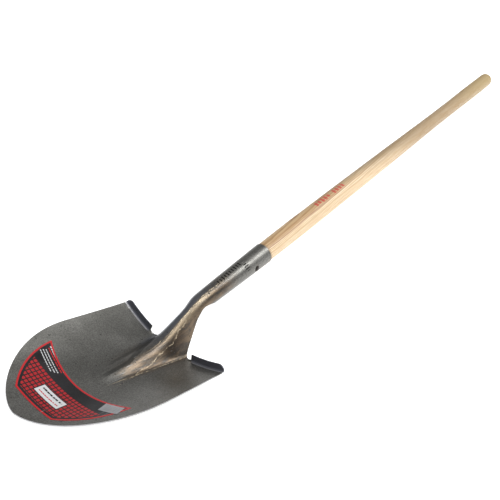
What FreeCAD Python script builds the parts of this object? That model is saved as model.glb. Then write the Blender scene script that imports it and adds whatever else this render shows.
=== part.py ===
import FreeCAD, Part
import math
import os
import types

import Sketcher

# Round point shovel with a long straight handle. Lengths in millimetres, angles in degrees.
#
# Blade frame: X across the blade, Y from the tip towards the handle with 0 at the turned
# steps, Z out of the dished face. The parts are shaped in that frame and then seated in the
# part's own frame: lying face up on a flat floor, +Z up, +Y towards the end of the handle.

SIZES = [
    ("steel", 1.6, "sheet thickness of the pressed head"),
    ("blade_half", 111.2, "half width of the blade"),
    ("blade_length", 284.0, "steps to tip"),
    ("point_start", 118.0, "steps to where the sides start to close in"),
    ("point_long", 2.31, "exponent of the point along the blade"),
    ("point_wide", 1.58, "exponent of the point across the blade"),
    ("dish_radius", 233.0, "cross radius of the dish at the steps"),
    ("dish_tighten", 0.2, "gain of cross curvature at the tip"),
    ("sweep_radius", 5000.0, "lengthwise radius of the dish"),
    ("step_inner", 47.5, "half gap between the turned steps"),
    ("step_fold", -2.6, "where the steps start to turn up"),
    ("step_top", 10.1, "flat position of the step's free edge before bending"),
    ("step_bend", 2.6, "bend radius of a turned step on the face side"),
    ("step_angle", 88.0, "angle the step is turned through"),
    ("step_corner", 10.0, "rounding of the outer step corner"),
    ("notch_start", 45.0, "half width where the notch between step and strap starts"),
    ("notch_floor", 1.0, "bottom of the notch in the flat blank"),
    ("notch_end", 24.0, "where the notch has run out into the strap"),
    ("notch_power", 1.5, "fullness of the notch curve, 2 is an ellipse"),
    ("strap_waist", 18.5, "half width of the strap at the neck in the flat blank"),
    ("frog_tip", -166.0, "where the raised rib runs out on the blade"),
    ("frog_nose", 24.0, "length of the rounded nose of the rib"),
    ("frog_front", 25.0, "half width of the rib behind its nose"),
    ("frog_back", 38.0, "half width of the rib at the steps"),
    ("rib_slope", 8.5, "slope of the rib's crest on the blade"),
    ("neck_slope", 42.0, "steepest slope of the crest at the neck"),
    ("socket_slope", 21.8, "slope of socket and handle to the blade"),
    ("rise_start", -72.0, "crest starts to steepen"),
    ("rise_end", 0.0, "crest is at its steepest"),
    ("bend_start", 18.0, "neck starts to bend into the socket"),
    ("bend_end", 62.0, "neck has become the straight socket"),
    ("socket_taper", 1.4, "half angle of the socket's cone"),
    ("mouth_radius", 19.55, "outer radius of the socket mouth"),
    ("mouth_at", 196.0, "crest position of the socket mouth"),
    ("strap_half", 36.0, "half width of the socket in the flat blank"),
    ("wrap_open", 104.0, "half angle the strap wraps at the steps"),
    ("wrap_neck", 138.0, "half angle the strap wraps in the neck"),
    ("wrap_seam", 177.6, "half angle the strap wraps in the closed socket"),
    ("seam_start", 46.0, "crest position where the strap starts to close"),
    ("seam_end", 100.0, "crest position where the seam has closed"),
    ("wood_gap", 0.06, "gap between wood and socket"),
    ("tenon_length", 116.0, "wood inside the socket"),
    ("tenon_nose", 14.0, "chamfered end of the tenon"),
    ("shoulder_at", 105.0, "thickest point of the handle, from the mouth"),
    ("shoulder_radius", 19.05, "radius at the thickest point"),
    ("waist_at", 720.0, "thinnest point of the handle, from the mouth"),
    ("waist_radius", 16.3, "radius at the thinnest point"),
    ("grip_at", 903.0, "start of the plain grip, from the mouth"),
    ("grip_radius", 17.5, "radius of the plain grip"),
    ("grip_length", 80.0, "length of the plain grip"),
    ("grip_round", 11.0, "rounding of the free end"),
    ("rivet_at", 38.5, "rivet axis, from the mouth"),
    ("rivet_radius", 2.6, "radius of the rivet shank"),
    ("rivet_head", 5.2, "radius of a rivet head"),
    ("rivet_dome", 1.9, "height of a rivet head"),
    ("film", 0.3, "thickness of the labels"),
    ("label_low", -256.0, "label, height of its lower edge on the blade"),
    ("label_low_half", 38.5, "label, half width of its lower edge"),
    ("label_high", -166.5, "label, height of its upper corners"),
    ("label_high_half", 87.5, "label, half width at its upper corners"),
    ("label_side_bow", 11.0, "label, bow of its sides"),
    ("label_top_bow", 17.0, "label, hollow of its upper edge"),
    ("sticker_x", 70.5, "sticker, middle across the blade"),
    ("sticker_y", -185.5, "sticker, middle along the blade"),
    ("sticker_long", 28.0, "sticker, length"),
    ("sticker_wide", 19.5, "sticker, width"),
    ("sticker_turn", 15.0, "sticker, turn from the blade's X axis"),
    ("rest_pitch", 23.341, "slope of the blade when the shovel lies on the floor"),
]


NODES = ["head", "handle", "rivet", "blade_label", "price_sticker"]


def make_sheet(doc):
    sheet = doc.addObject("Spreadsheet::Sheet", "sizes")
    for row, (name, value, meaning) in enumerate(SIZES, start=1):
        sheet.set("A%d" % row, name)
        sheet.set("B%d" % row, str(value))
        sheet.set("C%d" % row, meaning)
        sheet.setAlias("B%d" % row, name)
    doc.recompute()
    return sheet


def step(t):
    """Smooth ramp from 0 to 1 with zero slope and curvature at both ends."""
    t = min(max(t, 0.0), 1.0)
    return t * t * t * (10.0 - 15.0 * t + 6.0 * t * t)


def ramp(x, start, end):
    return step((x - start) / (end - start))


def integral(rate, start, end, pieces=24):
    """Simpson's rule."""
    h = (end - start) / (2.0 * pieces)
    total = rate(start) + rate(end)
    for i in range(1, 2 * pieces):
        total += rate(start + i * h) * (4.0 if i % 2 else 2.0)
    return total * h / 3.0


# ---------------------------------------------------------------- the formed sheet


class Head:
    """Maps a point (u, v) of the flat blank to the front of the pressed head."""

    def __init__(self, p):
        self.p = p
        self.taper = math.radians(p.socket_taper)
        self.known = {}

    def crown(self, v):
        """Height of the dish on its centre line."""
        return 0.5 * min(v, 0.0) ** 2 / self.p.sweep_radius

    def cross(self, v):
        """Cross curvature of the dish."""
        far = min(v, 0.0) / self.p.blade_length
        return (1.0 + self.p.dish_tighten * far * far) / self.p.dish_radius

    def slope(self, v):
        """Slope angle of the crest line, in radians."""
        p = self.p
        rise = ramp(v, p.rise_start, p.rise_end)
        fall = ramp(v, p.bend_start, p.bend_end)
        top = math.radians(p.neck_slope)
        angle = math.radians(p.rib_slope) * (1.0 - rise) + top * rise
        return angle * (1.0 - fall) + (math.radians(p.socket_slope) + self.taper) * fall

    def ridge(self, v):
        """Height of the crest above the dish."""
        if v <= self.p.frog_tip:
            return 0.0
        if v not in self.known:
            self.known[v] = integral(lambda s: math.tan(self.slope(s)), self.p.frog_tip, v, 60)
        return self.known[v]

    def radius(self, v):
        """Outer radius of neck and socket: a cone that eases into a plain neck."""
        p = self.p
        gain = math.sin(self.taper) / math.cos(math.radians(p.socket_slope) + self.taper)
        ease = 14.0
        run = v - p.bend_end + ease
        if run <= 0.0:
            run = 0.0
        elif run < 2.0 * ease:
            run = run * run / (4.0 * ease)
        else:
            run = run - ease
        return p.mouth_radius - gain * (p.mouth_at - p.bend_end - run)

    def tilt(self, v):
        """Lean of the section plane towards the neck axis, in radians."""
        taper = self.taper * ramp(v, self.p.bend_end - 14.0, self.p.bend_end + 14.0)
        return ramp(v, 0.0, 36.0) * (self.slope(v) - taper)

    def bell(self, u, v):
        """Cross profile of the rib: 1 on the crest, 0 on the dish."""
        p = self.p
        nose = p.frog_tip + p.frog_nose
        half = p.frog_front + (p.frog_back - p.frog_front) * ramp(v, nose - 40.0, 46.0)
        along = min(v - nose, 0.0) / p.frog_nose
        r = math.sqrt((u / half) ** 2 + along * along)
        r = min(r, 1.0)
        return 1.0 - 0.75 * step(r) - 0.25 * r * r * (3.0 - 2.0 * r)

    def wrap(self, v):
        """Half angle of the strap around the neck axis, in radians."""
        p = self.p
        neck = p.wrap_open + (p.wrap_neck - p.wrap_open) * ramp(v, 0.0, p.seam_start)
        return math.radians(neck + (p.wrap_seam - neck) * ramp(v, p.seam_start, p.seam_end))

    def strap(self, u, v):
        """Rib, neck and socket."""
        ridge = self.ridge(v)
        across = u
        down = ridge * (1.0 - self.bell(u, v)) - 0.5 * self.cross(v) * u * u
        turned = ramp(v, 0.0, 44.0)
        if turned > 0.0:
            r = self.radius(v)
            angle = self.wrap(v) * u / self.p.strap_half
            across = across * (1.0 - turned) + r * math.sin(angle) * turned
            down = down * (1.0 - turned) + r * (1.0 - math.cos(angle)) * turned
        lean = self.tilt(v)
        return FreeCAD.Vector(
            across,
            v + down * math.sin(lean),
            self.crown(v) + ridge - down * math.cos(lean),
        )

    def wing(self, u, v):
        """Step turned up from the dish towards the face."""
        p = self.p
        length = v - p.step_fold
        turn = math.radians(p.step_angle)
        arc = min(length, p.step_bend * turn)
        angle = arc / p.step_bend
        run = p.step_bend * math.sin(angle) + (length - arc) * math.cos(turn)
        rise = p.step_bend * (1.0 - math.cos(angle)) + (length - arc) * math.sin(turn)
        foot = self.strap(u, p.step_fold)
        lean = math.atan(self.cross(0.0) * u)
        return foot + FreeCAD.Vector(-math.sin(lean) * rise, run, math.cos(lean) * rise)

    def front(self, u, v):
        share = ramp(abs(u), self.p.strap_half + 2.0, self.p.step_inner)
        if v <= self.p.step_fold or share <= 0.0:
            return self.strap(u, v)
        return self.strap(u, v) * (1.0 - share) + self.wing(u, v) * share

    def normal(self, u, v):
        d = 0.01
        along_u = self.front(u + d, v) - self.front(u - d, v)
        along_v = self.front(u, v + d) - self.front(u, v - d)
        n = along_u.cross(along_v)
        n.normalize()
        return n

    def layer(self, depth):
        """The formed surface at a depth below the front."""
        if depth == 0.0:
            return self.front
        return lambda u, v: self.front(u, v) - self.normal(u, v) * depth


def through(points, marks):
    curve = Part.BSplineCurve()
    curve.interpolate(Points=points, Parameters=marks)
    return curve


def surface(shape, us, vs):
    """B-spline surface through shape(u, v), with u and v as its own parameters."""
    rows = [through([shape(u, v) for u in us], us) for v in vs]
    nets = [row.getPoles() for row in rows]
    columns = [through([net[k] for net in nets], vs) for k in range(len(nets[0]))]
    result = Part.BSplineSurface()
    result.buildFromPolesMultsKnots(
        [column.getPoles() for column in columns],
        rows[0].getMultiplicities(),
        columns[0].getMultiplicities(),
        rows[0].getKnots(),
        columns[0].getKnots(),
        False,
        False,
        3,
        3,
    )
    return result


def spread(start, end, pitch):
    count = max(1, int(math.ceil(abs(end - start) / pitch)))
    return [start + (end - start) * i / count for i in range(count)]


def thick_sheet(front, back, outline):
    """Closed solid between two surfaces that share one outline in (u, v).

    The outline is a ring of runs. A run of two points is straight, a longer one is smooth.
    """
    curves = [trace(run) for run in outline]
    edges = [[curve.toShape(side) for curve in curves] for side in (front, back)]
    faces = []
    for side, ring in zip((front, back), edges):
        face = Part.Face(side, Part.Wire(ring))
        face.validate()
        faces.append(face)
    for a, b in zip(*edges):
        faces += Part.makeLoft([Part.Wire(a), Part.Wire(b)], False, True).Faces
    shell = Part.makeShell(faces)
    shell.sewShape()
    solid = Part.makeSolid(shell)
    if solid.Volume < 0.0:
        solid.reverse()
    return solid


def trace(run):
    points = [FreeCAD.Base.Vector2d(u, v) for u, v in run]
    if len(points) == 2:
        return Part.Geom2d.Line2dSegment(points[0], points[1])
    curve = Part.Geom2d.BSplineCurve2d()
    curve.interpolate(points)
    return curve


def arc(u, v, radius, start, turn):
    """Arc around (u, v) from a start angle through a turn, in degrees."""
    angles = [math.radians(start + turn * i / 8.0) for i in range(9)]
    return [(u + radius * math.cos(a), v + radius * math.sin(a)) for a in angles]


def chained(runs):
    """Runs joined end to end: a straight run is added wherever two do not meet."""
    ring = []
    for run, following in zip(runs, runs[1:] + runs[:1]):
        ring.append(run)
        if math.dist(run[-1], following[0]) > 1e-6:
            ring.append([run[-1], following[0]])
    return ring


def mirrored(runs):
    """The same runs on the other side, in running order."""
    return [[(-u, v) for u, v in reversed(run)] for run in reversed(runs)]


def blade_half_width(p, v):
    far = -v
    if far <= p.point_start:
        return p.blade_half
    t = (far - p.point_start) / (p.blade_length - p.point_start)
    return p.blade_half * max(0.0, 1.0 - t ** p.point_long) ** (1.0 / p.point_wide)


def point_outline(p, count=40):
    """Edge of the round point, from the tip to where the side runs straight."""
    points = [(0.0, -p.blade_length)]
    for i in range(1, count + 1):
        a = 0.5 * math.pi * i / count
        far = p.point_start + (p.blade_length - p.point_start) * math.cos(a)
        points.append((blade_half_width(p, -far), -far))
    return points


def notch_outline(p):
    """Concave edge that runs from the step into the strap."""
    points = []
    for i in range(13):
        a = 0.5 * math.pi * i / 12.0
        out = math.sin(a) ** (2.0 / p.notch_power)
        up = 1.0 - math.cos(a) ** (2.0 / p.notch_power)
        u = p.notch_start + (p.strap_waist - p.notch_start) * out
        points.append((u, p.notch_floor + (p.notch_end - p.notch_floor) * up))
    return points


def strap_outline(p):
    """Edge of the strap, from its waist to where the socket seam has closed."""
    points = []
    for i in range(17):
        v = p.notch_end + (p.seam_end - p.notch_end) * i / 16.0
        widen = ramp(v, p.notch_end, p.seam_end)
        points.append((p.strap_waist + (p.strap_half - p.strap_waist) * widen, v))
    return points


def blank_outline(p):
    """Outline of the flat blank, tip first and then up its right side."""
    side, top, c = p.blade_half, p.step_top, p.step_corner
    corner = arc(side - c, top - c, c, 0.0, 90.0)
    inner_end = [(p.step_inner, top), (p.step_inner, p.notch_floor)]
    seam = [(p.strap_half, p.seam_end), (p.strap_half, p.mouth_at)]
    runs = [point_outline(p), corner, inner_end, notch_outline(p), strap_outline(p), seam]
    right = chained(runs)[:-1]
    mouth = [[(p.strap_half, p.mouth_at), (-p.strap_half, p.mouth_at)]]
    return right + mouth + mirrored(right)


def head_shape(p, head):
    half = (
        spread(0.0, p.strap_half, 2.6)
        + spread(p.strap_half, p.step_inner + 2.0, 1.4)
        + spread(p.step_inner + 2.0, p.blade_half + 4.0, 6.0)
        + [p.blade_half + 4.0]
    )
    us = [-u for u in reversed(half[1:])] + half
    vs = (
        spread(-p.blade_length - 6.0, p.frog_tip - 10.0, 9.0)
        + spread(p.frog_tip - 10.0, p.frog_tip + 2.0 * p.frog_nose, 3.5)
        + spread(p.frog_tip + 2.0 * p.frog_nose, p.step_fold - 6.0, 6.0)
        + spread(p.step_fold - 6.0, p.step_fold - 1.0, 1.25)
        + spread(p.step_fold - 1.0, p.step_fold + 6.0, 0.5)
        + spread(p.step_fold + 6.0, p.step_top + 2.0, 1.0)
        + spread(p.step_top + 2.0, p.seam_end, 2.6)
        + spread(p.seam_end, p.mouth_at, 9.0)
        + [p.mouth_at]
    )
    front = surface(head.front, us, vs)
    back = surface(head.layer(p.steel), us, vs)
    return thick_sheet(front, back, blank_outline(p))


# ---------------------------------------------------------------- labels on the blade


def bowed(a, b, bow):
    """Shallow arc from a to b that bows to the right of its direction by a height."""
    (au, av), (bu, bv) = a, b
    points = []
    for i in range(9):
        t = i / 8.0
        swell = 4.0 * t * (1.0 - t) * bow
        length = math.dist(a, b)
        points.append(
            (
                au + (bu - au) * t + (bv - av) / length * swell,
                av + (bv - av) * t - (bu - au) / length * swell,
            )
        )
    return points


def label_outline(p):
    """Shield that follows the round point, hollow towards the rib."""
    low = (p.label_low_half, p.label_low)
    high = (p.label_high_half, p.label_high)
    right = [bowed(low, high, p.label_side_bow)]
    top = [bowed(high, (-high[0], high[1]), -p.label_top_bow)]
    bottom = [[(-low[0], low[1]), low]]
    return bottom + right + top + mirrored(right)


def sticker_outline(p):
    """Plain rectangle, turned to lie along the label's arm."""
    turn = math.radians(p.sticker_turn)
    corners = [(-1, -1), (1, -1), (1, 1), (-1, 1)]
    ring = []
    for a, b in corners:
        along, across = a * p.sticker_long / 2.0, b * p.sticker_wide / 2.0
        ring.append(
            (
                p.sticker_x + along * math.cos(turn) - across * math.sin(turn),
                p.sticker_y + along * math.sin(turn) + across * math.cos(turn),
            )
        )
    return [[ring[i], ring[(i + 1) % 4]] for i in range(4)]


def film_shape(p, head, outline, lift):
    """Thin film lying on the dish at a small height."""
    reach_u = max(abs(u) for run in outline for u, v in run) + 4.0
    low = min(v for run in outline for u, v in run) - 4.0
    high = max(v for run in outline for u, v in run) + 4.0
    half = spread(0.0, reach_u, 6.0) + [reach_u]
    us = [-u for u in reversed(half[1:])] + half
    vs = spread(low, high, 6.0) + [high]
    front = surface(head.layer(-lift - p.film), us, vs)
    back = surface(head.layer(-lift), us, vs)
    return thick_sheet(front, back, outline)


# ---------------------------------------------------------------- handle


def ring_sketch(doc, body, name, at, radius):
    """Circle about the body's Z axis, at a height and with a radius held in the sheet."""
    base = [f for f in body.Origin.OriginFeatures if f.Role == "XY_Plane"][0]
    sketch = body.newObject("Sketcher::SketchObject", name)
    sketch.AttachmentSupport = [(base, "")]
    sketch.MapMode = "FlatFace"
    sketch.setExpression("AttachmentOffset.Base.z", at)
    circle = sketch.addGeometry(Part.Circle(FreeCAD.Vector(0, 0, 0), FreeCAD.Vector(0, 0, 1), 17.0))
    sketch.addConstraint(Sketcher.Constraint("Coincident", circle, 3, -1, 1))
    size = sketch.addConstraint(Sketcher.Constraint("Radius", circle, 17.0))
    sketch.setExpression("Constraints[%d]" % size, radius)
    return sketch


def loft(body, name, sketches, ruled):
    """Additive loft through a row of ring sketches."""
    feature = body.newObject("PartDesign::AdditiveLoft", name)
    feature.Profile = sketches[0]
    feature.Sections = sketches[1:]
    feature.Ruled = ruled
    return feature


def make_handle(doc):
    """Turned ash handle. Its own Z axis runs from the socket mouth to the free end."""
    body = doc.addObject("PartDesign::Body", "handle_body")
    inside = "sizes.mouth_radius - sizes.steel - sizes.wood_gap"
    narrow = "tan(sizes.socket_taper * 1 deg)"
    throat = "%s - %s * (sizes.tenon_length - sizes.tenon_nose)" % (inside, narrow)
    tenon = [
        ("tenon_end", "-sizes.tenon_length", "(%s) * 0.72" % throat),
        ("tenon_throat", "sizes.tenon_nose - sizes.tenon_length", throat),
        ("tenon_mouth", "0", inside),
    ]
    swell = "sizes.shoulder_radius"
    waist = "sizes.waist_radius"
    grip = "sizes.grip_radius"
    shaft = [
        ("shaft_mouth", "0", inside),
        ("shaft_rise", "sizes.shoulder_at * 0.4", "%s + (%s - (%s)) * 0.62" % (inside, swell, inside)),
        ("shaft_shoulder", "sizes.shoulder_at", swell),
        ("shaft_upper", "sizes.waist_at * 0.42", "%s * 0.83 + %s * 0.17" % (swell, waist)),
        ("shaft_middle", "sizes.waist_at * 0.72", "%s * 0.4 + %s * 0.6" % (swell, waist)),
        ("shaft_waist", "sizes.waist_at", waist),
        ("shaft_flare", "(sizes.waist_at + sizes.grip_at) / 2", "(%s + %s) / 2" % (waist, grip)),
        ("shaft_ease", "sizes.grip_at - 12", "%s - 0.03" % grip),
        ("shaft_grip", "sizes.grip_at", grip),
    ]
    tenon = [ring_sketch(doc, body, *station) for station in tenon]
    loft(body, "tenon", tenon, True)
    shaft = [ring_sketch(doc, body, *station) for station in shaft]
    loft(body, "shaft", shaft, False)
    grip_ring = ring_sketch(doc, body, "grip_ring", "sizes.grip_at", grip)
    pad = body.newObject("PartDesign::Pad", "grip")
    pad.Profile = grip_ring
    pad.setExpression("Length", "sizes.grip_length")
    doc.recompute()
    fillet = body.newObject("PartDesign::Fillet", "grip_end")
    fillet.Base = (pad, [last_ring_edge(pad.Shape)])
    fillet.setExpression("Radius", "sizes.grip_round")
    doc.recompute()
    plane = [f for f in body.Origin.OriginFeatures if f.Role == "YZ_Plane"][0]
    hole = body.newObject("Sketcher::SketchObject", "rivet_hole_ring")
    hole.AttachmentSupport = [(plane, "")]
    hole.MapMode = "FlatFace"
    circle = hole.addGeometry(Part.Circle(FreeCAD.Vector(0, -38.5, 0), FreeCAD.Vector(0, 0, 1), 2.6))
    size = hole.addConstraint(Sketcher.Constraint("Radius", circle, 2.6))
    hole.setExpression("Constraints[%d]" % size, "sizes.rivet_radius")
    hole.addConstraint(Sketcher.Constraint("PointOnObject", circle, 3, -2))
    depth = hole.addConstraint(Sketcher.Constraint("DistanceY", circle, 3, -1, 1, 38.5))
    hole.setExpression("Constraints[%d]" % depth, "sizes.rivet_at")
    pocket = body.newObject("PartDesign::Pocket", "rivet_hole")
    pocket.Profile = hole
    pocket.Type = "ThroughAll"
    pocket.Midplane = True
    doc.recompute()
    return body


def last_ring_edge(shape):
    """Name of the circular edge farthest along Z."""
    ends = [(edge.BoundBox.ZMin, "Edge%d" % i) for i, edge in enumerate(shape.Edges, start=1)]
    return max(ends)[1]


# ---------------------------------------------------------------- rivet


def socket_radius(at):
    """Expression for the outer socket radius at a distance from the mouth."""
    return "(sizes.mouth_radius - (%s) * tan(sizes.socket_taper * 1 deg))" % at


def make_rivet(doc):
    """Rivet with two domed heads that bed on the round of the socket. Z runs along the socket."""
    outer = socket_radius("sizes.rivet_at")
    ball_radius = "(sizes.rivet_head ^ 2 + sizes.rivet_dome ^ 2) / (2 * sizes.rivet_dome)"
    domes = []
    for side, sign, turn in (("right", "", 0), ("left", "-", 180)):
        ball = doc.addObject("Part::Sphere", "rivet_ball_" + side)
        ball.Placement.Rotation = FreeCAD.Rotation(FreeCAD.Vector(0, 0, 1), turn)
        ball.setExpression("Radius", ball_radius)
        middle = "%s(%s + sizes.rivet_dome - %s)" % (sign, outer, ball_radius)
        ball.setExpression("Placement.Base.x", middle)
        form = doc.addObject("Part::Cone", "rivet_socket_form_" + side)
        form.setExpression("Radius1", socket_radius("sizes.rivet_at + 12") + " + 0.02")
        form.setExpression("Radius2", socket_radius("sizes.rivet_at - 12") + " + 0.02")
        form.Height = 24.0
        quarter = FreeCAD.Rotation(FreeCAD.Vector(0, 0, 1), turn + 90)
        form.Placement = FreeCAD.Placement(FreeCAD.Vector(0, 0, -12), quarter)
        dome = doc.addObject("Part::Cut", "rivet_dome_" + side)
        dome.Base = ball
        dome.Tool = form
        domes.append(dome)
    shank = doc.addObject("Part::Cylinder", "rivet_shank")
    shank.setExpression("Radius", "sizes.rivet_radius - 0.02")
    shank.setExpression("Height", "2 * %s + 0.2" % outer)
    across = FreeCAD.Rotation(FreeCAD.Vector(0, 1, 0), 90)
    shank.Placement = FreeCAD.Placement(FreeCAD.Vector(0, 0, 0), across)
    shank.setExpression("Placement.Base.x", "-%s - 0.1" % outer)
    rivet = doc.addObject("Part::MultiFuse", "rivet")
    rivet.Shapes = domes + [shank]
    return rivet


# ---------------------------------------------------------------- document


def make_head(doc, p, head):
    """Pressed head with the rivet bored through its socket."""
    blank = doc.addObject("Part::Feature", "head_sheet")
    blank.Shape = head_shape(p, head)
    bore = doc.addObject("Part::Cylinder", "head_rivet_bore")
    bore.setExpression("Radius", "sizes.rivet_radius")
    bore.setExpression("Height", "4 * sizes.mouth_radius")
    centre = socket_frame(p, head).multVec(FreeCAD.Vector(0, 0, -p.rivet_at))
    across = FreeCAD.Rotation(FreeCAD.Vector(0, 1, 0), 90)
    centre.x = -2.0 * p.mouth_radius
    bore.Placement = FreeCAD.Placement(centre, across)
    cut = doc.addObject("Part::Cut", "head")
    cut.Base = blank
    cut.Tool = bore
    return cut


def socket_frame(p, head):
    """Frame with its origin in the middle of the socket mouth and Z out of the mouth."""
    crest = head.front(0.0, p.mouth_at)
    lean = math.radians(p.socket_slope)
    down = FreeCAD.Vector(0, math.sin(lean), -math.cos(lean))
    turn = FreeCAD.Rotation(FreeCAD.Vector(1, 0, 0), p.socket_slope - 90.0)
    return FreeCAD.Placement(crest + down * p.mouth_radius, turn)


def film_feature(doc, name, shape):
    film = doc.addObject("Part::Feature", name)
    film.Shape = shape
    return film


def extent(shapes):
    """Exact box around placed shapes."""
    boxes = [shape.optimalBoundingBox(False, False) for shape in shapes]
    whole = boxes[0]
    for box in boxes[1:]:
        whole.add(box)
    return whole


def seat(p, parts):
    """Lays the parts on the floor, with the origin under the middle of the whole shovel."""
    pitch = FreeCAD.Placement(
        FreeCAD.Vector(0, 0, 0), FreeCAD.Rotation(FreeCAD.Vector(1, 0, 0), -p.rest_pitch)
    )
    for feature, own in parts:
        feature.Placement = pitch.multiply(own)
    whole = extent([feature.Shape for feature, own in parts])
    shift = FreeCAD.Placement(
        FreeCAD.Vector(0, -0.5 * (whole.YMin + whole.YMax), -whole.ZMin), FreeCAD.Rotation()
    )
    for feature, own in parts:
        feature.Placement = shift.multiply(feature.Placement)


def check(doc, features):
    for item in doc.Objects:
        if "Invalid" in item.State or "Error" in item.State:
            raise RuntimeError("%s is %s" % (item.Name, item.State))
    for feature in features:
        shape = feature.Shape
        if shape.isNull() or not shape.isValid() or len(shape.Solids) != 1:
            raise RuntimeError("%s has no sound solid" % feature.Label)


def main():
    doc = FreeCAD.newDocument("round_point_shovel")
    sheet = make_sheet(doc)
    p = types.SimpleNamespace(**{name: float(sheet.get(name)) for name, size, meaning in SIZES})
    head = Head(p)
    socket = socket_frame(p, head)
    at_rivet = FreeCAD.Placement(FreeCAD.Vector(0, 0, -p.rivet_at), FreeCAD.Rotation())
    pressed = make_head(doc, p, head)
    handle = make_handle(doc)
    rivet = make_rivet(doc)
    label = film_feature(doc, "blade_label", film_shape(p, head, label_outline(p), 0.02))
    over = 0.04 + p.film
    sticker = film_feature(doc, "price_sticker", film_shape(p, head, sticker_outline(p), over))
    doc.recompute()
    here = FreeCAD.Placement()
    parts = [
        (pressed, here),
        (handle, socket),
        (rivet, socket.multiply(at_rivet)),
        (label, here),
        (sticker, here),
    ]
    seat(p, parts)
    doc.recompute()
    features = [feature for feature, own in parts]
    for feature, name in zip(features, NODES):
        feature.Label = name
    check(doc, features)
    os.makedirs("parts", exist_ok=True)
    for feature in features:
        feature.Shape.exportStep("parts/%s.step" % feature.Label)


main()
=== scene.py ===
import math

import bmesh
import bpy
from mathutils import Matrix, Vector

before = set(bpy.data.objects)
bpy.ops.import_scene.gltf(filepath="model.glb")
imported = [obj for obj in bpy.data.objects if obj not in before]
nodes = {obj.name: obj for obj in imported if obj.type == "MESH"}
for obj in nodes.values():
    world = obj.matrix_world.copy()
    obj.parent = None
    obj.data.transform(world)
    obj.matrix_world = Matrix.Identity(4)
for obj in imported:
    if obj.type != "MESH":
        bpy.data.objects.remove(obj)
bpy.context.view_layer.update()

# The shovel lies face up on the floor: X across the blade, Y from tip to handle end, Z up.
# The blade frame below has its origin at the turned steps, Y along the blade, Z out of its face.

BLADE_PITCH = math.radians(-23.341)
BLADE_ORIGIN = Vector((0.0, -0.48221, 0.00077))
BLADE_FRAME = Matrix.Translation(BLADE_ORIGIN) @ Matrix.Rotation(BLADE_PITCH, 4, "X")

SOCKET_SLOPE = math.radians(21.8)
SOCKET_RADIUS = 0.018
MOUTH = BLADE_FRAME @ Vector((0.0, 0.20326, 0.13439))

# the two groups of bars printed along the stick, measured from the socket mouth
PRINT_START = 0.160
PRINT_END = 0.260
PRINT_GAP_START = 0.209
PRINT_GAP_END = 0.221
PRINT_PITCH = 0.010
STICK_RADIUS = 0.019

# the blade label's chord, its corners and its hollow top, in the blade frame
LABEL_CHORD = -0.256
LABEL_CHORD_HALF = 0.0385
LABEL_TOP_MIDDLE = -0.1835
LABEL_HALF_WIDE = 0.0875
LABEL_HOLLOW = 0.017
LABEL_SIDE = Vector((0.049, 0.0895))
LABEL_SWELL = 0.044
SQUARE_PITCH = 0.0062
PANEL_Y = -0.2285
PANEL_ROW_STEP = 0.0035
PRINT_BLUR = 0.0003


# ---------------------------------------------------------------- node helpers


class Graph:
    """Short way to write a shader's nodes."""

    def __init__(self, tree):
        self.tree = tree

    def node(self, kind, **settings):
        made = self.tree.nodes.new(kind)
        for key, value in settings.items():
            setattr(made, key, value)
        return made

    def put(self, value, socket):
        if isinstance(value, bpy.types.NodeSocket):
            self.tree.links.new(value, socket)
        else:
            socket.default_value = value

    def math(self, operation, a, b=0.0, c=0.0):
        made = self.node("ShaderNodeMath", operation=operation)
        for value, socket in zip((a, b, c), made.inputs):
            self.put(value, socket)
        return made.outputs[0]

    def mix(self, share, a, b):
        made = self.node("ShaderNodeMix", data_type="RGBA")
        self.put(share, made.inputs["Factor"])
        self.put(a, made.inputs[6])
        self.put(b, made.inputs[7])
        return made.outputs[2]

    def range(self, value, low, high, out_low=0.0, out_high=1.0):
        """A smooth step from out_low to out_high as value goes from low to high."""
        made = self.node("ShaderNodeMapRange", interpolation_type="SMOOTHSTEP")
        for given, socket in zip((value, low, high, out_low, out_high), made.inputs):
            self.put(given, socket)
        return made.outputs[0]

    def noise(self, vector, scale, detail=2.0, roughness=0.5, distortion=0.0):
        made = self.node("ShaderNodeTexNoise")
        self.put(vector, made.inputs["Vector"])
        self.put(scale, made.inputs["Scale"])
        self.put(detail, made.inputs["Detail"])
        self.put(roughness, made.inputs["Roughness"])
        self.put(distortion, made.inputs["Distortion"])
        return made.outputs["Fac"]

    def place(self, vector, shift=(0, 0, 0), turn=(0, 0, 0), scale=(1, 1, 1)):
        made = self.node("ShaderNodeMapping")
        self.put(vector, made.inputs["Vector"])
        self.put(shift, made.inputs["Location"])
        self.put(turn, made.inputs["Rotation"])
        self.put(scale, made.inputs["Scale"])
        return made.outputs["Vector"]

    def split(self, vector):
        made = self.node("ShaderNodeSeparateXYZ")
        self.put(vector, made.inputs[0])
        return made.outputs

    def bump(self, height, distance, strength):
        made = self.node("ShaderNodeBump")
        self.put(height, made.inputs["Height"])
        self.put(distance, made.inputs["Distance"])
        self.put(strength, made.inputs["Strength"])
        return made.outputs[0]


def new_material(name):
    material = bpy.data.materials.new(name)
    material.use_nodes = True
    material.node_tree.nodes.clear()
    graph = Graph(material.node_tree)
    shader = graph.node("ShaderNodeBsdfPrincipled")
    output = graph.node("ShaderNodeOutputMaterial")
    graph.tree.links.new(shader.outputs[0], output.inputs[0])
    return material, graph, shader


def object_point(graph):
    return graph.node("ShaderNodeTexCoord").outputs["Object"]


def blade_point(graph):
    """Object coordinates turned into the blade frame."""
    back = BLADE_FRAME.inverted()
    return graph.place(object_point(graph), shift=back.to_translation(), turn=back.to_euler())


def handle_point(graph):
    """Object coordinates with Z along the handle, from the socket mouth."""
    along = BLADE_PITCH + SOCKET_SLOPE - math.radians(90.0)
    back = (Matrix.Translation(MOUTH) @ Matrix.Rotation(along, 4, "X")).inverted()
    return graph.place(object_point(graph), shift=back.to_translation(), turn=back.to_euler())


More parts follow.
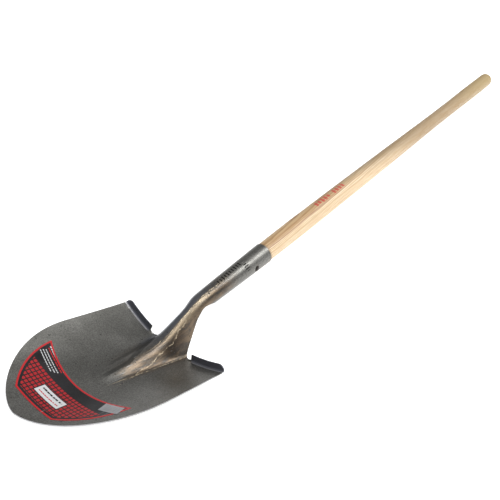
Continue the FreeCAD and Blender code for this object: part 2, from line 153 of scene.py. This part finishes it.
def dress(node, material):
    mesh = nodes[node].data
    mesh.materials.clear()
    mesh.materials.append(material)


# ---------------------------------------------------------------- shared finishes


def new_group(name, inputs, outputs):
    tree = bpy.data.node_groups.new(name, "ShaderNodeTree")
    for label, kind in inputs:
        tree.interface.new_socket(label, in_out="INPUT", socket_type=kind)
    for label, kind in outputs:
        tree.interface.new_socket(label, in_out="OUTPUT", socket_type=kind)
    graph = Graph(tree)
    return tree, graph, graph.node("NodeGroupInput").outputs, graph.node("NodeGroupOutput").inputs


def mottle_group():
    """Fine orange-peel mottle of a dipped lacquer, with broad clouds and a few bare specks."""
    tree, g, given, out = new_group(
        "lacquer_mottle",
        [("Point", "NodeSocketVector"), ("Grain", "NodeSocketFloat"), ("Cloud", "NodeSocketFloat")],
        [("Fine", "NodeSocketFloat"), ("Broad", "NodeSocketFloat"), ("Specks", "NodeSocketFloat")],
    )
    fine = g.noise(given["Point"], given["Grain"], 3.0, 0.65)
    broad = g.noise(given["Point"], given["Cloud"], 3.0, 0.55, 0.4)
    spots = g.noise(given["Point"], g.math("MULTIPLY", given["Grain"], 0.42), 1.0, 0.4)
    g.put(fine, out["Fine"])
    g.put(broad, out["Broad"])
    g.put(g.range(spots, 0.72, 0.78), out["Specks"])
    return tree


def handling_group():
    """Scuffs and fingerprints that change the gloss of a handled surface."""
    tree, g, given, out = new_group(
        "handling_marks",
        [("Point", "NodeSocketVector"), ("Amount", "NodeSocketFloat")],
        [("Scuff", "NodeSocketFloat"), ("Scratch", "NodeSocketFloat")],
    )
    smear = g.noise(given["Point"], 16.0, 4.0, 0.6, 1.2)
    long_way = g.place(given["Point"], turn=(0.0, 0.0, 0.7), scale=(1.0, 0.03, 1.0))
    scratch = g.noise(long_way, 420.0, 1.0, 0.4)
    gate = g.noise(given["Point"], 30.0, 1.0, 0.4)
    line = g.math("MULTIPLY", g.range(scratch, 0.71, 0.75), g.range(gate, 0.52, 0.62))
    g.put(g.math("MULTIPLY", g.range(smear, 0.4, 0.7), given["Amount"]), out["Scuff"])
    g.put(g.math("MULTIPLY", line, given["Amount"]), out["Scratch"])
    return tree


MOTTLE = mottle_group()
HANDLING = handling_group()


def use_group(g, tree, **values):
    made = g.node("ShaderNodeGroup", node_tree=tree)
    for label, value in values.items():
        g.put(value, made.inputs[label])
    return made.outputs


def line_mask(g, distance, half, soft):
    """1 on a line where the distance is 0, fading over soft metres past half."""
    return g.range(g.math("ABSOLUTE", distance), half, half + soft, 1.0, 0.0)


def between(g, value, low, high, soft):
    """1 from low to high, fading over soft either side of each."""
    rise = g.range(value, low - soft, low + soft)
    fall = g.range(value, high - soft, high + soft, 1.0, 0.0)
    return g.math("MULTIPLY", rise, fall)


def both(g, *masks):
    """1 where every mask is 1."""
    made = masks[0]
    for mask in masks[1:]:
        made = g.math("MULTIPLY", made, mask)
    return made


def tone(g, base, mask, strength, colour):
    """Lay a colour over base where mask is 1."""
    return g.mix(g.math("MULTIPLY", mask, strength), base, colour)


def cell_random(g, cell):
    """One random number for each whole number of cell."""
    pick = g.node("ShaderNodeTexWhiteNoise", noise_dimensions="1D")
    g.put(g.math("FLOOR", cell), pick.inputs["W"])
    return pick.outputs["Value"]


def reach_mask(g, offset, half, low, high):
    """1 where offset is within half of 0, fading from low to high past it."""
    past = g.math("SUBTRACT", g.math("ABSOLUTE", offset), half)
    return g.range(past, low, high, 1.0, 0.0)


# ---------------------------------------------------------------- lacquered steel head


class HeadSurface:
    """Places and masks on the head that several of its finishes use, in the blade frame."""

    def __init__(self, g):
        self.p = blade_point(g)
        self.x, self.y, self.z = g.split(self.p)
        self.mottle = use_group(g, MOTTLE, Point=self.p, Grain=540.0, Cloud=13.0)
        self.marks = use_group(g, HANDLING, Point=self.p, Amount=1.0)

        # 1 where the sheet faces out of the dish, 0 on a cut edge, -1 on the back
        facing = g.node("ShaderNodeVectorMath", operation="DOT_PRODUCT")
        g.put(g.node("ShaderNodeNewGeometry").outputs["Normal"], facing.inputs[0])
        facing.inputs[1].default_value = BLADE_FRAME.to_3x3() @ Vector((0.0, 0.0, 1.0))
        self.facing = facing.outputs["Value"]
        self.face = g.range(self.facing, -0.10, 0.05)

        # the rib runs from its nose in the dish up into the neck, and is widest at the steps;
        # foot is 0 on its crest and 1 where it meets the dish
        rib_half = g.range(self.y, -0.182, 0.046, 0.025, 0.044)
        self.foot = g.math("DIVIDE", g.math("ABSOLUTE", self.x), rib_half)
        rib_long = between(g, self.y, -0.150, 0.200, 0.012)
        self.on_rib = both(g, g.range(self.foot, 0.7, 1.05, 1.0, 0.0), rib_long)

        # heat colours flow along the sheet, and are weaker on its back
        self.flow = g.noise(g.place(self.p, scale=(1.0, 0.14, 0.22)), 240.0, 4.0, 0.62, 0.4)
        heat_long = between(g, self.y, -0.115, 0.105, 0.025)
        self.heated = both(g, self.on_rib, g.range(self.face, 0.0, 1.0, 0.35, 1.0), heat_long)

        # a slow waver for drawn lines, 5 mm either way
        self.waver = g.math("MULTIPLY_ADD", g.noise(self.p, 60.0, 3.0, 0.6), 0.010, -0.005)


def even_lacquer(g, head):
    """One grey-green lacquer over the whole head, with slow clouds and a fine pitting."""
    clouds = g.range(head.mottle["Broad"], 0.35, 0.68)
    base = g.mix(clouds, (0.157, 0.155, 0.143, 1), (0.199, 0.196, 0.183, 1))
    pitted = g.mix(0.40, base, (0.02, 0.02, 0.018, 1))
    return g.mix(g.range(head.mottle["Fine"], 0.40, 0.62), pitted, base)


def heat_tint_and_painted_light(g, head, base):
    """Straw, brown and blue heat colours round the neck and along the rib, with painted highlights
    in the straw patch and the bluish band and a painted dark reflection in the dark patch.
    """
    x, y, flow = head.x, head.y, head.flow
    tint = g.mix(g.range(flow, 0.36, 0.64), (0.040, 0.029, 0.021, 1), (0.150, 0.108, 0.070, 1))
    # a straw patch just right of the crest: straw heat colour with a painted highlight
    straw_patch_and_highlight = both(g, between(g, x, 0.003, 0.010, 0.003), between(g, y, -0.020, 0.055, 0.018))
    tint = tone(g, tint, straw_patch_and_highlight, 0.85, (0.400, 0.310, 0.200, 1))
    right_side = g.range(x, -0.004, 0.012, 0.25, 1.0)
    streaks = g.range(flow, 0.2, 0.6, 0.55, 0.9)
    base = g.mix(both(g, head.heated, right_side, streaks), base, tint)
    # a bluish band on the left of the crest: blue heat colour with a painted highlight
    left_crest = g.range(x, 0.0045, 0.0010)
    blue_band_and_highlight = both(g, head.on_rib, head.face, left_crest, between(g, y, -0.03, 0.06, 0.03))
    base = tone(g, base, blue_band_and_highlight, 0.75, (0.150, 0.160, 0.185, 1))
    # a darker brown patch right of the neck: dark heat tint with a painted dark reflection
    dark_patch_wide = between(g, x, 0.0125, 0.0245, 0.004)
    dark_tint_and_reflection = both(g, head.face, dark_patch_wide, between(g, y, -0.030, 0.010, 0.010))
    return tone(g, base, dark_tint_and_reflection, 0.60, (0.030, 0.020, 0.014, 1))


def straw_highlight_lines(g, head):
    """Thin straw-coloured painted highlights drawn out along the crest, the right flank and the
    right foot.
    """
    x, y, waver = head.x, head.y, head.waver
    off_crest = g.math("ADD", x, g.math("MULTIPLY_ADD", waver, 0.9, -0.004))
    crest = both(g, line_mask(g, off_crest, 0.0002, 0.0008), between(g, y, -0.05, 0.10, 0.02))
    flank_place = g.math("MULTIPLY_ADD", y, 0.12, g.math("MULTIPLY_ADD", waver, 1.2, -0.012))
    off_flank = g.math("ADD", x, flank_place)
    flank = both(g, line_mask(g, off_flank, 0.0001, 0.0007), between(g, y, -0.13, 0.02, 0.02))
    off_foot = g.math("MULTIPLY", g.math("SUBTRACT", head.foot, 0.80), 0.03)
    off_foot = g.math("ADD", off_foot, g.math("MULTIPLY", waver, 0.35))
    right_foot = both(g, line_mask(g, off_foot, 0.0001, 0.0009), g.range(x, 0.0, 0.004))
    right_foot = both(g, right_foot, between(g, y, -0.14, 0.004, 0.02))
    lines = g.math("MAXIMUM", g.math("MAXIMUM", crest, flank), right_foot)
    broken = g.range(g.noise(head.p, 140.0, 2.0, 0.5), 0.40, 0.60, 0.15, 1.0)
    return both(g, lines, head.face, broken)


def painted_crease_shade(g, head):
    """Painted shade: a dark line in the crease along the left foot of the rib."""
    above_nose = g.math("MAXIMUM", g.math("ADD", head.y, 0.093), 0.0)
    off_foot = g.math("ADD", head.x, g.math("MULTIPLY_ADD", above_nose, 0.31, -0.0055))
    left_end = g.range(head.y, -0.110, -0.030, -0.0040, -0.0095)
    left_fade = g.range(off_foot, g.math("ADD", left_end, -0.003), left_end)
    right_fade = g.range(off_foot, 0.0, 0.0020, 1.0, 0.0)
    long_way = between(g, head.y, -0.140, 0.006, 0.012)
    return both(g, left_fade, right_fade, head.face, long_way)


def punched_row(g, run, side, pitch, start, end):
    """A row of plain bars of uneven length, laid along run and centred on side."""
    cell = g.math("DIVIDE", run, pitch)
    half = g.math("MULTIPLY_ADD", cell_random(g, cell), 0.0018, 0.0032)
    bars = between(g, g.math("FRACT", cell), 0.22, 0.62, 0.06)
    reach = reach_mask(g, side, half, -0.0002, 0.0003)
    return both(g, bars, reach, between(g, run, start, end, 0.0005))


def punched_bars(g, head):
    """Two rows of plain bars in the socket's face, one along it and one round it."""
    across, down, along = g.split(handle_point(g))
    turn = g.math("ARCTAN2", across, g.math("MULTIPLY", down, -1.0))
    girth = g.math("MULTIPLY", turn, SOCKET_RADIUS)
    lean = g.math("MULTIPLY_ADD", along, 0.055, g.math("ADD", girth, 0.0052))
    long_row = punched_row(g, along, lean, 0.0062, -0.1240, -0.0640)
    round_row = punched_row(g, girth, g.math("ADD", along, 0.0585), 0.0044, 0.0020, 0.0200)
    return both(g, g.math("MAXIMUM", long_row, round_row), g.range(head.z, 0.080, 0.090))


def rubbed_edges_and_fold_highlight(g, head, base):
    """Both turned steps are bluish; the cut edges and the point are rubbed bright, and a painted
    highlight runs along the fold.
    """
    x, y = head.x, head.y
    turned = both(g, g.range(y, -0.0022, -0.0010), g.range(head.foot, 1.12, 1.2))
    base = tone(g, base, turned, 0.9, (0.165, 0.172, 0.208, 1))
    steep = g.range(g.math("ABSOLUTE", head.facing), 0.30, 0.62, 1.0, 0.0)
    off_neck = g.range(g.math("ABSOLUTE", x), 0.03, 0.045)
    top_edge = both(g, steep, g.range(y, -0.030, -0.012, 1.0, 0.0), off_neck)
    point_edge = both(g, steep, g.range(y, -0.16, -0.18))
    # a painted highlight along the fold of the turned steps
    fold_highlight = line_mask(g, g.math("ADD", y, 0.0030), 0.0006, 0.0014)
    fold_highlight = both(g, fold_highlight, g.range(head.foot, 1.12, 1.3))
    rub_and_fold_highlight = g.math("MAXIMUM", g.math("MAXIMUM", top_edge, point_edge), fold_highlight)
    return tone(g, base, rub_and_fold_highlight, 0.75, (0.62, 0.62, 0.64, 1))


def lacquered_steel():
    material, g, shader = new_material("lacquered_steel")
    head = HeadSurface(g)
    mottle, marks = head.mottle, head.marks
    straw_highlights = straw_highlight_lines(g, head)
    crease_shade = painted_crease_shade(g, head)
    bar = punched_bars(g, head)

    base = heat_tint_and_painted_light(g, head, even_lacquer(g, head))
    # painted highlights: straw lines along the crest, the right flank and the right foot
    base = tone(g, base, straw_highlights, 0.8, (0.60, 0.50, 0.35, 1))
    # painted shade in the crease along the rib's left foot
    base = tone(g, base, crease_shade, 0.80, (0.020, 0.020, 0.018, 1))
    base = tone(g, base, bar, 0.95, (0.008, 0.008, 0.007, 1))
    # rubbed cut edges and point, and a painted highlight along the fold
    base = rubbed_edges_and_fold_highlight(g, head, base)
    base = tone(g, base, mottle["Specks"], 0.75, (0.016, 0.015, 0.013, 1))
    base = tone(g, base, marks["Scratch"], 0.35, (0.34, 0.34, 0.33, 1))
    g.put(base, shader.inputs["Base Color"])

    rough = g.range(mottle["Broad"], 0.3, 0.7, 0.37, 0.45)
    rough = g.math("MULTIPLY_ADD", marks["Scuff"], 0.06, rough)
    rough = g.math("MULTIPLY_ADD", head.heated, -0.04, rough)
    rough = g.math("MULTIPLY_ADD", bar, 0.25, rough)
    g.put(rough, shader.inputs["Roughness"])

    # the painted crease shade also takes away metal and coat, so it reflects less
    g.put(g.math("MULTIPLY_ADD", crease_shade, -0.3, 0.88), shader.inputs["Metallic"])
    shader.inputs["Coat Roughness"].default_value = 0.28
    coat = g.range(mottle["Fine"], 0.3, 0.7, 0.05, 0.16)
    coat = both(g, coat, g.math("MULTIPLY_ADD", crease_shade, -0.9, 1.0))
    g.put(coat, shader.inputs["Coat Weight"])

    clouds = g.math("MULTIPLY", mottle["Broad"], 0.00035)
    height = g.math("MULTIPLY_ADD", mottle["Fine"], 0.00012, clouds)
    height = g.math("MULTIPLY_ADD", bar, -0.00035, height)
    height = g.math("MULTIPLY_ADD", both(g, head.flow, head.heated), 0.0004, height)
    height = g.math("MULTIPLY_ADD", straw_highlights, 0.00012, height)
    g.put(g.bump(height, 1.0, 0.9), shader.inputs["Normal"])
    return material


# ---------------------------------------------------------------- ash handle


def growth_radius(g, across, up, along):
    """Distance from a pith far below the stick, which leans a little along it."""
    side = g.math("ADD", across, g.math("MULTIPLY_ADD", along, 0.010, -0.034))
    lift = g.math("ADD", up, g.math("MULTIPLY_ADD", along, -0.016, 0.050))
    square = g.math("ADD", g.math("MULTIPLY", side, side), g.math("MULTIPLY", lift, lift))
    return g.math("SQRT", square)


def stick_print(g, p, across, up, along):
    """Two groups of plain bars of uneven height, a little worn."""
    turn = g.math("ARCTAN2", across, up)
    girth = g.math("MULTIPLY", g.math("ADD", turn, 0.02), STICK_RADIUS)
    cell = g.math("MULTIPLY", g.math("SUBTRACT", along, PRINT_START), 1.0 / PRINT_PITCH)
    tall = g.math("MULTIPLY_ADD", cell_random(g, cell), 0.0020, 0.0040)
    bars = between(g, g.math("FRACT", cell), 0.14, 0.80, 0.04)
    reach = reach_mask(g, girth, tall, -0.0003, 0.0003)
    length = between(g, along, PRINT_START, PRINT_END, 0.0006)
    gap = between(g, along, PRINT_GAP_START, PRINT_GAP_END, 0.0004)
    worn = g.range(g.noise(p, 900.0, 2.0, 0.6), 0.30, 0.55, 0.25, 1.0)
    return both(g, bars, reach, length, g.math("SUBTRACT", 1.0, gap), worn)


def ash_wood():
    material, g, shader = new_material("ash_wood")
    p = handle_point(g)
    across, down, along = g.split(p)
    up = g.math("MULTIPLY", down, -1.0)

    # growth rings, with a stronger one every few years
    drift = g.noise(g.place(p, scale=(1.0, 1.0, 0.16)), 42.0, 2.0, 0.5)
    drift = g.math("MULTIPLY_ADD", drift, 0.0075, -0.0037)
    radius = g.math("ADD", growth_radius(g, across, up, along), drift)
    ring = g.math("FRACT", g.math("MULTIPLY", radius, 420.0))
    early = both(g, g.range(ring, 0.0, 0.10), g.range(ring, 0.16, 0.62, 1.0, 0.0))
    season = g.math("FRACT", g.math("MULTIPLY", radius, 165.0))
    season = both(g, g.range(season, 0.0, 0.08), g.range(season, 0.10, 0.40, 1.0, 0.0))

    fibre = g.noise(g.place(p, scale=(1.0, 1.0, 0.012)), 1500.0, 2.0, 0.6)
    pores = g.noise(g.place(p, scale=(1.0, 1.0, 0.030)), 2400.0, 1.0, 0.5)
    pores = both(g, g.range(pores, 0.62, 0.74), g.math("MULTIPLY_ADD", early, 0.8, 0.2))
    flecks = g.noise(g.place(p, scale=(1.0, 1.0, 0.08)), 300.0, 2.0, 0.5)
    mild_flecks = g.range(flecks, 0.35, 0.7)
    even_flecks = g.range(flecks, 0.3, 0.7)

    # cream sapwood, with brown heartwood in the part next to the socket
    cream = g.mix(mild_flecks, (0.700, 0.570, 0.385, 1), (0.620, 0.475, 0.300, 1))
    cream = tone(g, cream, early, 0.90, (0.400, 0.255, 0.130, 1))
    cream = tone(g, cream, season, 0.55, (0.380, 0.235, 0.125, 1))
    heart = g.mix(mild_flecks, (0.440, 0.285, 0.140, 1), (0.380, 0.225, 0.095, 1))
    heart = tone(g, heart, early, 0.60, (0.230, 0.115, 0.045, 1))
    inner = g.range(g.math("MULTIPLY_ADD", along, 0.012, radius), 0.0700, 0.0708)
    inner = both(g, inner, g.range(along, 0.20, 0.34, 1.0, 0.0))
    base = tone(g, cream, inner, 0.80, heart)
    off_rim = g.math("MULTIPLY_ADD", along, 0.012, g.math("SUBTRACT", radius, 0.0703))
    rim = line_mask(g, off_rim, 0.00025, 0.0005)
    rim = both(g, rim, g.range(along, 0.20, 0.30, 1.0, 0.0))
    base = tone(g, base, rim, 0.85, (0.240, 0.110, 0.050, 1))

    # the far end is tan, and the tan starts sooner on one side of the stick, which is painted shade
    tan = g.mix(even_flecks, (0.325, 0.240, 0.146, 1), (0.280, 0.195, 0.104, 1))
    tan = g.mix(g.range(along, 0.70, 0.96, 0.0, 0.8), tan, (0.315, 0.238, 0.104, 1))
    tan = tone(g, tan, early, 0.30, (0.280, 0.180, 0.090, 1))
    # the tan reaches further on one side of the stick: painted shade
    shade_slanted_along = g.math("SUBTRACT", along, g.math("MULTIPLY", across, 9.0))
    base = g.mix(g.range(shade_slanted_along, 0.16, 0.48, 0.0, 0.95), base, tan)
    base = g.mix(g.range(fibre, 0.55, 0.80, 0.0, 0.30), base, (0.360, 0.225, 0.110, 1))
    base = tone(g, base, pores, 0.35, (0.230, 0.130, 0.060, 1))

    # grime where the wood meets the steel, handling marks, and the print
    marks = use_group(g, HANDLING, Point=p, Amount=1.0)
    base = g.mix(g.range(along, 0.0005, 0.007, 0.55, 0.0), base, (0.120, 0.080, 0.045, 1))
    base = tone(g, base, marks["Scuff"], 0.10, (0.300, 0.205, 0.120, 1))
    bars = stick_print(g, p, across, up, along)
    base = tone(g, base, bars, 0.93, (0.420, 0.022, 0.022, 1))
    g.put(base, shader.inputs["Base Color"])

    rough = g.range(flecks, 0.3, 0.7, 0.46, 0.56)
    g.put(g.math("MULTIPLY_ADD", early, 0.08, rough), shader.inputs["Roughness"])
    g.put(g.range(along, 0.5, 0.95, 0.04, 0.10), shader.inputs["Coat Weight"])
    shader.inputs["Coat Roughness"].default_value = 0.42
    open_grain = g.math("ADD", pores, g.math("MULTIPLY", fibre, 0.6))
    open_grain = g.math("ADD", g.math("MULTIPLY", early, 0.5), open_grain)
    height = g.math("MULTIPLY", open_grain, -0.00009)
    g.put(g.bump(height, 1.0, 0.9), shader.inputs["Normal"])
    return material


# ---------------------------------------------------------------- printed films


def rotated(g, x, y, cx, cy, angle):
    """Coordinates about a centre, turned by an angle."""
    dx = g.math("SUBTRACT", x, cx)
    dy = g.math("SUBTRACT", y, cy)
    c = math.cos(angle)
    s = math.sin(angle)
    u = g.math("ADD", g.math("MULTIPLY", dx, c), g.math("MULTIPLY", dy, s))
    v = g.math("SUBTRACT", g.math("MULTIPLY", dy, c), g.math("MULTIPLY", dx, s))
    return u, v


def bar_mask(g, x, y, cx, cy, angle, half_long, half_wide):
    """One straight bar."""
    u, v = rotated(g, x, y, cx, cy, angle)
    ends = reach_mask(g, u, half_long, -PRINT_BLUR, PRINT_BLUR)
    return g.math("MULTIPLY", ends, reach_mask(g, v, half_wide, -PRINT_BLUR, PRINT_BLUR))


def dash_mask(g, x, y, cx, cy, angle, half_long, half_wide, pitch):
    """A row of short dashes of uneven length."""
    u, v = rotated(g, x, y, cx, cy, angle)
    cell = g.math("DIVIDE", u, pitch)
    gap = g.math("MULTIPLY_ADD", cell_random(g, cell), 0.30, 0.10)
    dash = g.range(g.math("SUBTRACT", g.math("FRACT", cell), gap), -0.04, 0.04)
    ends = reach_mask(g, u, half_long, -0.0003, 0.0003)
    return both(g, dash, ends, reach_mask(g, v, half_wide, -0.0002, 0.0003))


def inside_label(g, x, y):
    """Depth inside the label's outline: chord, two bowed sides and the hollow top."""
    side = g.math("ABSOLUTE", x)
    bow = LABEL_HOLLOW / LABEL_HALF_WIDE**2
    hollow = g.math("MULTIPLY_ADD", g.math("MULTIPLY", x, x), bow, LABEL_TOP_MIDDLE)
    from_top = g.math("MULTIPLY", g.math("SUBTRACT", hollow, y), 0.95)
    from_chord = g.math("SUBTRACT", y, LABEL_CHORD)
    slope = math.atan2(LABEL_SIDE.y, LABEL_SIDE.x)
    u, v = rotated(g, side, y, LABEL_CHORD_HALF, LABEL_CHORD, slope)
    share = g.math("DIVIDE", u, LABEL_SIDE.length)
    swell = g.math("MULTIPLY", share, g.math("SUBTRACT", 1.0, share))
    from_side = g.math("MULTIPLY_ADD", swell, LABEL_SWELL, v)
    return g.math("MINIMUM", g.math("MINIMUM", from_top, from_chord), from_side)


def printed_label():
    material, g, shader = new_material("printed_label")
    p = blade_point(g)
    x, y = g.split(p)[:2]
    black = (0.008, 0.007, 0.008, 1)
    red = (0.400, 0.016, 0.020, 1)
    dark_red = (0.330, 0.015, 0.019, 1)
    white = (0.520, 0.530, 0.540, 1)
    clouds = g.range(g.noise(p, 26.0, 3.0, 0.6), 0.3, 0.7)
    base = g.mix(clouds, black, (0.018, 0.017, 0.019, 1))

    # a field of small plain squares, kept clear of the border and the left arm's dashes
    depth = inside_label(g, x, y)
    squares = g.range(depth, 0.0060, 0.0064)
    for way in (x, y):
        step = g.math("FRACT", g.math("DIVIDE", way, SQUARE_PITCH))
        squares = both(g, squares, between(g, step, 0.14, 0.86, 0.05))
    squares = both(g, squares, g.range(y, -0.2040, -0.2044))
    base = g.mix(squares, base, dark_red)

    # a plain pale panel with two rows of dashes
    base = g.mix(bar_mask(g, x, y, 0.0, PANEL_Y, 0.0, 0.0255, 0.0100), base, black)
    base = g.mix(bar_mask(g, x, y, 0.0, PANEL_Y, 0.0, 0.0240, 0.0086), base, white)
    upper, lower = PANEL_Y + PANEL_ROW_STEP, PANEL_Y - PANEL_ROW_STEP
    base = g.mix(dash_mask(g, x, y, 0.0, upper, 0.0, 0.0200, 0.0012, 0.0058), base, black)
    base = g.mix(dash_mask(g, x, y, 0.0, lower, 0.0, 0.0200, 0.0008, 0.0042), base, red)

    # rows of plain dashes on the left arm: place, half length, half width, pitch, colour
    tilt = -0.20
    for cx, cy, half_long, half_wide, pitch, ink in (
        (-0.0555, -0.1785, 0.0250, 0.0008, 0.0042, white),
        (-0.0550, -0.1822, 0.0230, 0.0008, 0.0052, red),
        (-0.0560, -0.1870, 0.0220, 0.0006, 0.0037, white),
        (-0.0580, -0.1908, 0.0215, 0.0006, 0.0044, white),
        (-0.0605, -0.1946, 0.0195, 0.0006, 0.0040, white),
    ):
        row = dash_mask(g, x, y, cx, cy, tilt, half_long, half_wide, pitch)
        base = g.mix(row, base, ink)

    # red border
    base = g.mix(g.range(depth, 0.0024, 0.0029, 1.0, 0.0), base, red)
    wear = use_group(g, HANDLING, Point=p, Amount=1.0)
    base = tone(g, base, wear["Scratch"], 0.5, (0.30, 0.30, 0.30, 1))
    g.put(base, shader.inputs["Base Color"])
    g.put(g.math("MULTIPLY_ADD", wear["Scuff"], 0.14, 0.34), shader.inputs["Roughness"])
    shader.inputs["Specular IOR Level"].default_value = 0.25
    g.put(g.bump(g.noise(p, 90.0, 3.0, 0.5), 0.0003, 0.5), shader.inputs["Normal"])
    return material


def price_sticker():
    material, g, shader = new_material("price_sticker")
    p = blade_point(g)
    x, y = g.split(p)[:2]
    clouds = g.range(g.noise(p, 60.0, 3.0, 0.6), 0.3, 0.7)
    base = g.mix(clouds, (0.215, 0.219, 0.229, 1), (0.260, 0.265, 0.276, 1))
    tilt = math.radians(15.0)
    for shift in (-0.0052, -0.0018, 0.0018, 0.0052):
        cx = 0.0705 - shift * math.sin(tilt)
        cy = -0.1855 + shift * math.cos(tilt)
        row = dash_mask(g, x, y, cx, cy, tilt, 0.0105, 0.0010, 0.0034)
        base = tone(g, base, row, 0.55, (0.16, 0.16, 0.17, 1))
    g.put(base, shader.inputs["Base Color"])
    g.put(g.range(g.noise(p, 200.0, 2.0, 0.5), 0.3, 0.7, 0.42, 0.58), shader.inputs["Roughness"])
    g.put(g.bump(g.noise(p, 700.0, 2.0, 0.5), 0.0001, 0.5), shader.inputs["Normal"])
    return material


def rivet_steel():
    material, g, shader = new_material("rivet_steel")
    p = object_point(g)
    hammered = g.noise(p, 500.0, 2.0, 0.5)
    rust = g.noise(p, 260.0, 3.0, 0.6)
    base = g.mix(g.range(rust, 0.45, 0.7), (0.022, 0.021, 0.020, 1), (0.040, 0.030, 0.022, 1))
    g.put(base, shader.inputs["Base Color"])
    shader.inputs["Metallic"].default_value = 0.8
    g.put(g.range(hammered, 0.3, 0.7, 0.36, 0.52), shader.inputs["Roughness"])
    g.put(g.bump(hammered, 0.0003, 0.7), shader.inputs["Normal"])
    return material


# ---------------------------------------------------------------- studio


def studio_floor():
    material, g, shader = new_material("studio_floor")
    p = object_point(g)
    base = g.mix(g.noise(p, 3.0), (0.93, 0.93, 0.93, 1), (0.95, 0.95, 0.95, 1))
    g.put(base, shader.inputs["Base Color"])
    shader.inputs["Roughness"].default_value = 0.95
    shader.inputs["Specular IOR Level"].default_value = 0.0
    shader.inputs["Emission Color"].default_value = (1, 1, 1, 1)
    shader.inputs["Emission Strength"].default_value = 0.62
    under = g.node("ShaderNodeMixShader")
    g.put(g.node("ShaderNodeNewGeometry").outputs["Backfacing"], under.inputs[0])
    g.put(shader.outputs[0], under.inputs[1])
    g.put(g.node("ShaderNodeBsdfTransparent").outputs[0], under.inputs[2])
    g.put(under.outputs[0], g.tree.nodes["Material Output"].inputs[0])
    bm = bmesh.new()
    bmesh.ops.create_grid(bm, x_segments=1, y_segments=1, size=15.0)
    mesh = bpy.data.meshes.new("floor")
    bm.to_mesh(mesh)
    bm.free()
    floor = bpy.data.objects.new("floor", mesh)
    bpy.context.scene.collection.objects.link(floor)
    mesh.materials.append(material)


def soft_box(name, place, aim, wide, tall, power):
    data = bpy.data.lights.new(name, "AREA")
    data.shape = "RECTANGLE"
    data.size = wide
    data.size_y = tall
    data.energy = power
    light = bpy.data.objects.new(name, data)
    light.location = place
    light.rotation_euler = (Vector(aim) - Vector(place)).to_track_quat("-Z", "Y").to_euler()
    bpy.context.scene.collection.objects.link(light)


def studio_light():
    world = bpy.data.worlds.new("studio")
    bpy.context.scene.world = world
    world.use_nodes = True
    room = Graph(world.node_tree)
    back = world.node_tree.nodes["Background"]
    seen = room.node("ShaderNodeLightPath").outputs["Is Camera Ray"]
    room.put(room.range(seen, 0.0, 1.0, 0.38, 1.0), back.inputs["Strength"])
    back.inputs["Color"].default_value = (1.0, 1.0, 1.0, 1)
    soft_box("box_behind", (0.97, 1.55, 2.00), (0.0, -0.45, 0.05), 0.9, 0.9, 42)
    soft_box("box_over", (1.30, 0.30, 2.60), (0.0, -0.4, 0.05), 1.35, 1.35, 40)
    soft_box("box_front", (2.0, -1.4, 1.8), (0.0, -0.1, 0.0), 1.6, 1.6, 24)
    bpy.context.scene.view_settings.view_transform = "Standard"


def camera():
    data = bpy.data.cameras.new("camera")
    data.sensor_width = 36.0
    data.lens = 42.908
    view = bpy.data.objects.new("camera", data)
    place = Vector((0.48706, -0.86899, 0.77553))
    aim = Vector((-0.00679, -0.27121, 0.06752))
    level = (aim - place).to_track_quat("-Z", "Y").to_matrix()
    roll = Matrix.Rotation(math.radians(0.911), 3, "Z")
    view.matrix_world = Matrix.Translation(place) @ (level @ roll).to_4x4()
    bpy.context.scene.collection.objects.link(view)
    bpy.context.scene.camera = view


dress("head", lacquered_steel())
dress("handle", ash_wood())
dress("rivet", rivet_steel())
dress("blade_label", printed_label())
dress("price_sticker", price_sticker())
studio_floor()
studio_light()
camera()
